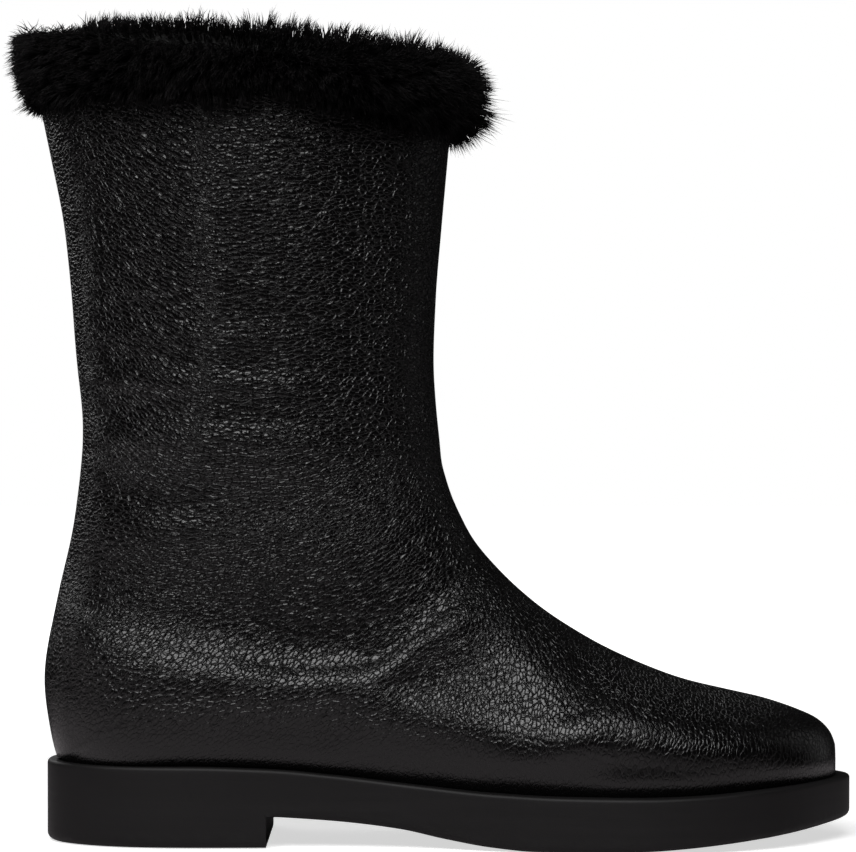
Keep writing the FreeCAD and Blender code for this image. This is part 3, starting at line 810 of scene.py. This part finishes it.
def make_sole(material):
    sides, breast = sole_sides()
    blocks = []
    grids = []
    for (points, normal), side in zip(sides, (OUTER, INNER)):
        rows, heel, upper_end = wall_rows(points, normal)
        grids.append((rows, heel))
        flip = side == OUTER
        blocks.append((rows[:upper_end], flip))
        blocks.append((rows[upper_end - 1:, breast:], flip))
        blocks.append((heel[:, :breast + 1], flip))
    outer, inner = grids
    blocks.append((np.array([outer[0][0], inner[0][0]]), False))
    blocks.append((np.array([outer[0][-1, breast:], inner[0][-1, breast:]]), True))
    blocks.append((np.array([outer[1][-1, :breast + 1], inner[1][-1, :breast + 1]]), True))
    blocks.append((np.array([outer[1][:, breast], inner[1][:, breast]]), True))
    points = np.concatenate([grid.reshape(-1, 3) for grid, _ in blocks])
    faces = []
    count = 0
    for grid, flip in blocks:
        faces.append(grid_faces(*grid.shape[:2], flip) + count)
        count += grid[..., 0].size
    low = np.where(points[:, 0] <= HEEL_BREAST + 0.01, 0.0, smooth(TREAD, points[:, 0]))
    near = np.clip(1 - (points[:, 2] - low) / ROUGH_HEIGHT, 0, 1)
    rough = noise_field(points, 1.6, 21) * 0.22 + noise_field(points, 4.0, 22) * 0.2
    outwards = np.where(np.abs(points[:, 1]) > 10, np.sign(points[:, 1]), 0.0)
    points[:, 1] += rough * near * (near < 0.999) * outwards
    share = np.clip(1 - (points[:, 2] - low) / UNDER_HEIGHT, 0, 1)
    piece = new_mesh("rubber_sole", points, faces, material, floats=[("tread_share", share)])
    merge(piece)
    piece.data.set_sharp_from_angle(angle=math.radians(SHARP_ANGLE))
    finish_piece(piece, "sole_rubber", "outsole")


# ---- fur cuff

# Skin under the fur, from its lower edge outside over the top and down into the shaft:
# (distance outwards from the leather, height above the leather's top edge, length of the hair)
SKIN = ((0.6, -24.0, 4.0), (2.6, -24.5, 5.5), (4.8, -21.5, 7.5), (6.0, -12.0, 8.5),
        (5.4, -3.0, 8.5), (2.8, 1.6, 8.0), (-1.0, 2.8, 7.5), (-5.0, 1.6, 7.0), (-8.2, -3.0, 6.5),
        (-9.4, -12.0, 5.5), (-9.6, -26.0, 5.0), (-9.6, -44.0, 4.5))

# The cuff's edges against the leather's top edge, from the front (0) to the back (1):
# (share of the way, height of the lower edge, height of the crest)
CUFF_HEIGHTS = ((0.0, -25.0, 9.0), (0.15, -24.5, 11.4), (0.30, -21.0, 11.6), (0.42, -17.0, 10.8),
                (0.60, -22.5, 10.8), (0.80, -26.0, 7.6), (0.90, -28.5, 3.4), (1.0, -31.0, -2.5))
CUFF_LOW_EDGE = -31.0  # the heights in CUFF_HEIGHTS for which SKIN is drawn
CUFF_CREST = 10.5
SKIN_CREST = 2.8
SKIN_ROWS = 96
SKIN_COLUMNS = 480
SKIN_THICKNESS = 1.2
BACK_FLATTER = 0.4  # how much less the cuff stands out at the back
BACK_SHORTER = 0.42  # how much shorter its hair is there
FUR_SEED = 11
CLUMPS = 2600
HAIRS = 78000
HAIRS_PER_PIECE = 12500
HAIR_WIDTH = 0.30
HAIR_STEPS = (0.0, 0.35, 0.7, 1.0)  # places of its rings and its tip, and the rings' radii
HAIR_RADII = (0.5, 0.48, 0.34)
HAIR_CORNERS = 3
HAIR_POINTS = 10
HAIR_BEND = 0.75
CLUMP_PULL = 0.55
SPREAD = 0.16  # scatter of the clumps' lengths and of the hairs' directions


def shaft_rows(z):
    """Front and back x of the shaft at heights."""
    table = np.array([(row[1], row[0], row[2]) for row in reversed(RINGS[:6])], float)
    return smooth(table, z, 1), smooth(table, z, 2)


def collar(turn, outset, height):
    """Points round the top of the shaft; turn goes from 0 at the front over the outer side (0.5
    at the back) and back to 1 along the inner side."""
    side = np.where(turn < 0.5, OUTER, INNER)
    s = (1 - np.cos(2 * np.pi * turn)) / 2
    front, back = shaft_rows(np.full_like(s, TOPLINE_HEIGHT))
    low = height * np.where(outset > 0, smooth(CUFF_HEIGHTS, s, 1) / CUFF_LOW_EDGE, 1.0)
    high = height + (smooth(CUFF_HEIGHTS, s, 2) - CUFF_CREST) * height / SKIN_CREST
    z = topline(front + (back - front) * s) + np.where(height < 0, low, high)
    front, back = shaft_rows(z)
    length = front - back
    flatter = 1 - BACK_FLATTER * ramp(s, 0.5, 1.0) * (outset > 0)
    middle = (front + back) / 2
    x = front + (back - front) * s
    x = middle + (x - middle) * (1 + 2 * outset * flatter / length)
    width = smooth(SHAFT, z) + outset
    width = width * cap(s * length, length / 2) * cap((1 - s) * length, length / 2)
    return np.stack([x, side * width, z], axis=-1)


def skin_grid():
    """Points of the skin, and the length of the hair on each of its rows."""
    steps = np.hypot(np.diff([r[0] for r in SKIN]), np.diff([r[1] for r in SKIN]))
    place = np.concatenate([[0.0], np.cumsum(steps)])
    table = [(p,) + row for p, row in zip(place, SKIN)]
    at = np.linspace(0, place[-1], SKIN_ROWS)
    outset = smooth(table, at, 1)[:, None]
    height = smooth(table, at, 2)[:, None]
    turn = np.linspace(0, 1, SKIN_COLUMNS, endpoint=False)[None, :]
    return collar(turn, outset, height), smooth(table, at, 3)


def sample(grid, row, column):
    """Values of a grid at places between its points."""
    i = np.clip(row.astype(int), 0, SKIN_ROWS - 2)
    j = np.clip(column.astype(int), 0, SKIN_COLUMNS - 1)
    u = (row - i)[:, None]
    v = (column - j)[:, None]
    top = grid[i, j] * (1 - v) + grid[i, j + 1] * v
    low = grid[i + 1, j] * (1 - v) + grid[i + 1, j + 1] * v
    return top * (1 - u) + low * u


def grow_hairs(skin, normal, hair_length):
    """Points and shades of all the hairs, and their places round the cuff. The hairs stand in
    clumps, which lean together and pull their hairs towards their middles."""
    rng = np.random.default_rng(FUR_SEED)
    step = np.linalg.norm(np.diff(skin[SKIN_ROWS // 4], axis=0), axis=1)
    ring_place = np.concatenate([[0.0], np.cumsum(step)])

    def places(count):
        length = rng.uniform(0, ring_place[-1], count)
        row = rng.uniform(0, SKIN_ROWS - 1.001, count)
        return row, np.interp(length, ring_place, np.arange(SKIN_COLUMNS + 1))

    clump_root = sample(skin, *places(CLUMPS))
    tree = kdtree.KDTree(CLUMPS)
    for k, point in enumerate(clump_root):
        tree.insert(point, k)
    tree.balance()
    clump_lean = np.stack([0.45 * noise_field(clump_root, 14.0, 32),
                           0.45 * noise_field(clump_root, 14.0, 33),
                           -0.30 + 0.35 * noise_field(clump_root, 22.0, 31)], axis=1)
    clump_length = 1 + SPREAD * rng.standard_normal(CLUMPS)
    clump_shade = rng.uniform(0, 1, CLUMPS)
    row, column = places(HAIRS)
    root = sample(skin, row, column)
    out = unit(sample(normal, row, column))
    owner = np.array([tree.find(p)[1] for p in root])
    length = np.interp(row, np.arange(SKIN_ROWS), hair_length) * clump_length[owner]
    length *= 1 - BACK_SHORTER * ramp(-root[:, 0], 0.0, 36.0)
    length *= rng.uniform(0.72, 1.12, HAIRS)
    lean = clump_lean[owner] + SPREAD * rng.standard_normal((HAIRS, 3))
    pull = clump_root[owner] - root
    pull -= out * np.sum(pull * out, axis=1, keepdims=True)
    spine = []
    for t in HAIR_STEPS:
        bend = out * t + lean * t * t * HAIR_BEND
        spine.append(root + length[:, None] * bend + pull * (CLUMP_PULL * t ** 1.3))
    tangent = unit(spine[-1] - spine[0])
    across = unit(np.cross(tangent, rng.standard_normal((HAIRS, 3))))
    other = np.cross(tangent, across)
    width = HAIR_WIDTH * rng.uniform(0.7, 1.25, HAIRS)
    points = []
    for middle, radius in zip(spine, HAIR_RADII):
        for corner in range(HAIR_CORNERS):
            angle = 2 * np.pi * corner / HAIR_CORNERS
            ring = across * math.cos(angle) + other * math.sin(angle)
            points.append(middle + ring * (width * radius)[:, None])
    points.append(spine[-1])
    shade = 0.6 * rng.uniform(0, 1, HAIRS) + 0.4 * clump_shade[owner]
    return np.stack(points, axis=1), shade, column


def hair_faces():
    """Faces of one hair: quads along it and triangles at its tip."""
    corners = [(c, (c + 1) % HAIR_CORNERS) for c in range(HAIR_CORNERS)]
    quads = [(k + a, k + b, k + HAIR_CORNERS + b, k + HAIR_CORNERS + a)
             for k in (0, HAIR_CORNERS) for a, b in corners]
    tip = HAIR_POINTS - 1
    tips = [(tip - HAIR_CORNERS + a, tip - HAIR_CORNERS + b, tip) for a, b in corners]
    return np.array(quads), np.array(tips)


def make_fur(material):
    skin, hair_length = skin_grid()
    closed = np.concatenate([skin, skin[:, :1]], axis=1)
    normal = grid_normals(closed)
    hairs, shade, column = grow_hairs(closed, normal, hair_length)
    quads, tips = hair_faces()
    along = np.append(np.repeat(HAIR_STEPS[:-1], HAIR_CORNERS), HAIR_STEPS[-1])
    order = np.argsort(column, kind="stable")
    for number, start in enumerate(range(0, HAIRS, HAIRS_PER_PIECE), 1):
        pick = order[start:start + HAIRS_PER_PIECE]
        offset = np.arange(len(pick))[:, None, None] * HAIR_POINTS
        faces = [(block[None] + offset).reshape(-1, block.shape[1]) for block in (quads, tips)]
        piece = new_mesh("fur_" + str(number), hairs[pick].reshape(-1, 3), faces, material,
                         floats=[("along_hair", np.tile(along, len(pick))),
                                 ("hair_shade", np.repeat(shade[pick], HAIR_POINTS))])
        finish_piece(piece, "fur", "fur_cuff")
    back = skin - normal[:, :-1] * SKIN_THICKNESS
    points = np.concatenate([skin, back[::-1]], axis=0).reshape(-1, 3)
    faces = grid_faces(2 * SKIN_ROWS, SKIN_COLUMNS, True, wrap=True)
    first = np.arange(SKIN_COLUMNS)
    last = len(points) - SKIN_COLUMNS + first
    seam = np.stack([last, np.roll(last, -1), np.roll(first, -1), first], axis=1)
    # The skin under the hair gets the darkest root colour, the painted shade at the bottom of the
    # pile.
    zero = np.zeros(len(points))
    piece = new_mesh("fur_skin", points, [faces, seam], material,
                     floats=[("along_hair", zero), ("hair_shade", zero)])
    merge(piece)
    finish_piece(piece, "fur", "fur_cuff")


# ---- inside

PILE_DEPTH = 1.6  # millimetres
PILE_VOXEL = 0.0016  # metres


def plush_copy(node, name, material):
    """Soft piece with an uneven pile, grown from the shape of a CAD node."""
    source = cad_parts[node]
    piece = source.copy()
    piece.data = source.data.copy()
    piece.parent = None
    for key in list(piece.keys()):
        del piece[key]
    piece.name = name
    piece.data.name = name
    piece.hide_render = False
    piece.hide_viewport = False
    bpy.context.scene.collection.objects.link(piece)
    remesh = piece.modifiers.new("even", "REMESH")
    remesh.mode = "VOXEL"
    remesh.voxel_size = PILE_VOXEL
    depsgraph = bpy.context.evaluated_depsgraph_get()
    mesh = bpy.data.meshes.new_from_object(piece.evaluated_get(depsgraph))
    piece.modifiers.clear()
    piece.data = mesh
    points = np.empty(len(mesh.vertices) * 3)
    normals = np.empty(len(mesh.vertices) * 3)
    mesh.vertices.foreach_get("co", points)
    mesh.vertices.foreach_get("normal", normals)
    points = points.reshape(-1, 3) / MM
    lumps = noise_field(points, 3.2, 41) * 0.6 + noise_field(points, 8.0, 42) * 0.4
    points += normals.reshape(-1, 3) * (PILE_DEPTH * (lumps - 0.4))[:, None]
    mesh.vertices.foreach_set("co", (points * MM).ravel())
    mesh.materials.clear()
    mesh.materials.append(material)
    mesh.polygons.foreach_set("use_smooth", np.ones(len(mesh.polygons), bool))
    mesh.update()
    return piece


def make_inside(material):
    for node in ("shaft_lining_outer_side", "shaft_lining_inner_side", "vamp_lining_outer_side",
                 "vamp_lining_inner_side"):
        piece = plush_copy(node, node.replace("lining", "pile"), material)
        finish_piece(piece, "shearling", node)
    sock = plush_copy("fur_sock", "pile_sock", material)
    finish_piece(sock, "shearling", "fur_sock")


# Finishes of the CAD pieces that stay in use, inside the boot:
# (node, material, colour, roughness, metallic, scale, depth and sometimes contrast of the grain)
FINISHES = (
    ("heel_core", "heel_foam", (0.02, 0.02, 0.021), 0.85, 0.0, 900.0, 0.0003),
    ("shank_board", "fibre_board", (0.16, 0.11, 0.07), 0.8, 0.0, 700.0, 0.0002),
    ("forepart_filler", "cork", (0.28, 0.17, 0.09), 0.85, 0.0, 500.0, 0.0004, 0.5),
    ("shank", "shank_steel", (0.42, 0.42, 0.43), 0.38, 1.0, 1500.0, 0.00005),
    ("shank_rivets", "rivet_steel", (0.5, 0.5, 0.5), 0.34, 1.0, 1800.0, 0.00004),
    ("insole_board", "insole_board", (0.20, 0.15, 0.10), 0.82, 0.0, 800.0, 0.0002),
    ("sock_cushion", "cushion_foam", (0.30, 0.29, 0.26), 0.9, 0.0, 1200.0, 0.0004),
    ("heel_counter", "counter", (0.05, 0.048, 0.045), 0.75, 0.0, 800.0, 0.0002),
    ("toe_puff", "puff", (0.05, 0.048, 0.045), 0.75, 0.0, 800.0, 0.0002),
    ("front_seam_tape", "front_tape", (0.04, 0.04, 0.042), 0.7, 0.0, 2500.0, 0.0001),
    ("back_seam_tape", "back_tape", (0.04, 0.04, 0.042), 0.7, 0.0, 2500.0, 0.0001),
    ("interlining", "interlining", (0.05, 0.05, 0.05), 0.85, 0.0, 2200.0, 0.0002))


def finish_cad_nodes():
    finishes = {row[0]: plain_material(*row[1:]) for row in FINISHES}
    for node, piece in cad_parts.items():
        key = "interlining" if node.startswith("interlining") else node
        if key not in finishes:
            continue
        slots = piece.data.materials
        if not len(slots):
            slots.append(finishes[key])
        for place in range(len(slots)):
            slots[place] = finishes[key]


# ---- stage, lights and camera

FLOOR_REACH = 3.0  # half the side of the floor
FLOOR_DROP = -0.0002
FLOOR_GLOW = 0.64  # glow seen near the boot, and further away
FAR_GLOW = 1.1
GLOW_START = 0.25
GLOW_END = 0.8
FLOOR_BOUNCE = 0.70  # light the floor throws back near the boot, and further away
FAR_BOUNCE = 0.04
BOUNCE_START = 0.13
BOUNCE_END = 0.24
BOUNCE_STRETCH = (0.4, 1.0, 1.0)
BOUNCE_TINT = (1.0, 0.93, 0.96)
WORLD_LIGHT = 0.012

# Area lights: (name, place, the point it looks at, width and height, watts)
LIGHTS = (("key_box", (-0.15, -0.95, 1.10), (0.09, -0.05, 0.10), (1.2, 0.8), 19.5),
          ("over_box", (0.15, 0.05, 1.30), (0.09, 0.0, 0.10), (0.8, 0.6), 0.15),
          ("rim_left", (-1.0, 0.45, 0.40), (0.05, 0.0, 0.16), (0.16, 0.9), 0.06),
          ("rim_right", (1.15, 0.55, 0.40), (0.10, 0.0, 0.12), (0.16, 0.9), 0.25),
          ("back_box", (-0.55, 1.10, 0.75), (0.05, 0.0, 0.14), (0.9, 0.7), 3.5))
CAMERA_PLACE = (0.0932, -1.300, 0.165)
CAMERA_TARGET = (0.0932, 0.0, 0.1431)
CAMERA_LENS = 157.0
CAMERA_SENSOR = 36.0


def make_floor():
    """Paper floor that the camera sees as white. Other rays find it bright only near the boot."""
    n = Nodes("studio_floor")
    place = n.object_place()
    paper = n.noise(place, 900.0, 2.0)
    tint = n.colours(paper, (0.3, (0.80, 0.80, 0.80)), (0.7, (0.83, 0.83, 0.83)))
    n.finish(tint, 0.9, n.bump(paper, 0.00005, 0.3), Specular_IOR_Level=0.1)
    away = n.vector("LENGTH", "Value", place)
    seen = n.add("LightPath").outputs["Is Camera Ray"]
    close = n.vector("LENGTH", "Value", n.vector("MULTIPLY", 0, place, BOUNCE_STRETCH))
    near = n.remap(close, BOUNCE_START, BOUNCE_END, FLOOR_BOUNCE, FAR_BOUNCE)
    bounce = n.colours(near, (0.0, (0.0, 0.0, 0.0)), (1.0, BOUNCE_TINT))
    shown = n.add("Mix", {"data_type": "RGBA"}, Factor=seen, i6=bounce, i7=tint)
    glow = n.remap(away, GLOW_START, GLOW_END, FLOOR_GLOW, FAR_GLOW)
    n.set(n.shader, Base_Color=shown.outputs[2], Emission_Color=(1, 1, 1, 1),
          Emission_Strength=n.weigh(glow, seen))
    corners = np.array([(-1, -1, 0), (1, -1, 0), (1, 1, 0), (-1, 1, 0)]) * FLOOR_REACH / MM
    floor = new_mesh("studio_floor", corners, [np.array([[0, 1, 2, 3]])], n.material)
    floor.location.z = FLOOR_DROP
    floor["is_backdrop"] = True


def make_world():
    """White background for the camera, and very little light from it for everything else."""
    world = bpy.data.worlds.new("studio")
    bpy.context.scene.world = world
    world.use_nodes = True
    tree = world.node_tree
    background = tree.nodes["Background"]
    background.inputs["Color"].default_value = (1, 1, 1, 1)
    path = tree.nodes.new("ShaderNodeLightPath")
    strength = tree.nodes.new("ShaderNodeMapRange")
    strength.inputs["To Min"].default_value = WORLD_LIGHT
    strength.inputs["To Max"].default_value = 1.0
    tree.links.new(path.outputs["Is Camera Ray"], strength.inputs["Value"])
    tree.links.new(strength.outputs[0], background.inputs["Strength"])


def aim(thing, target):
    direction = Vector(target) - thing.location
    thing.rotation_euler = direction.to_track_quat("-Z", "Y").to_euler()


def make_lights():
    for name, place, target, size, power in LIGHTS:
        data = bpy.data.lights.new(name, "AREA")
        data.shape = "RECTANGLE"
        data.size, data.size_y = size
        data.energy = power
        light = bpy.data.objects.new(name, data)
        light.location = place
        bpy.context.scene.collection.objects.link(light)
        aim(light, target)


def make_camera():
    data = bpy.data.cameras.new("camera")
    data.lens = CAMERA_LENS
    data.sensor_width = CAMERA_SENSOR
    camera = bpy.data.objects.new("camera", data)
    camera.location = CAMERA_PLACE
    bpy.context.scene.collection.objects.link(camera)
    aim(camera, CAMERA_TARGET)
    bpy.context.scene.camera = camera
    bpy.context.scene.view_settings.view_transform = "Standard"


def write_size():
    low, high = CAD_LOW, CAD_HIGH
    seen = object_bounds()
    ({"cad": [list(low), list(high)],
               "scene": [list(seen[0]), list(seen[1])]})


make_upper(leather_material())
make_sole(rubber_material())
make_fur(fur_material())
make_inside(shearling_material())
finish_cad_nodes()
make_floor()
make_world()
make_lights()
make_camera()
write_size()
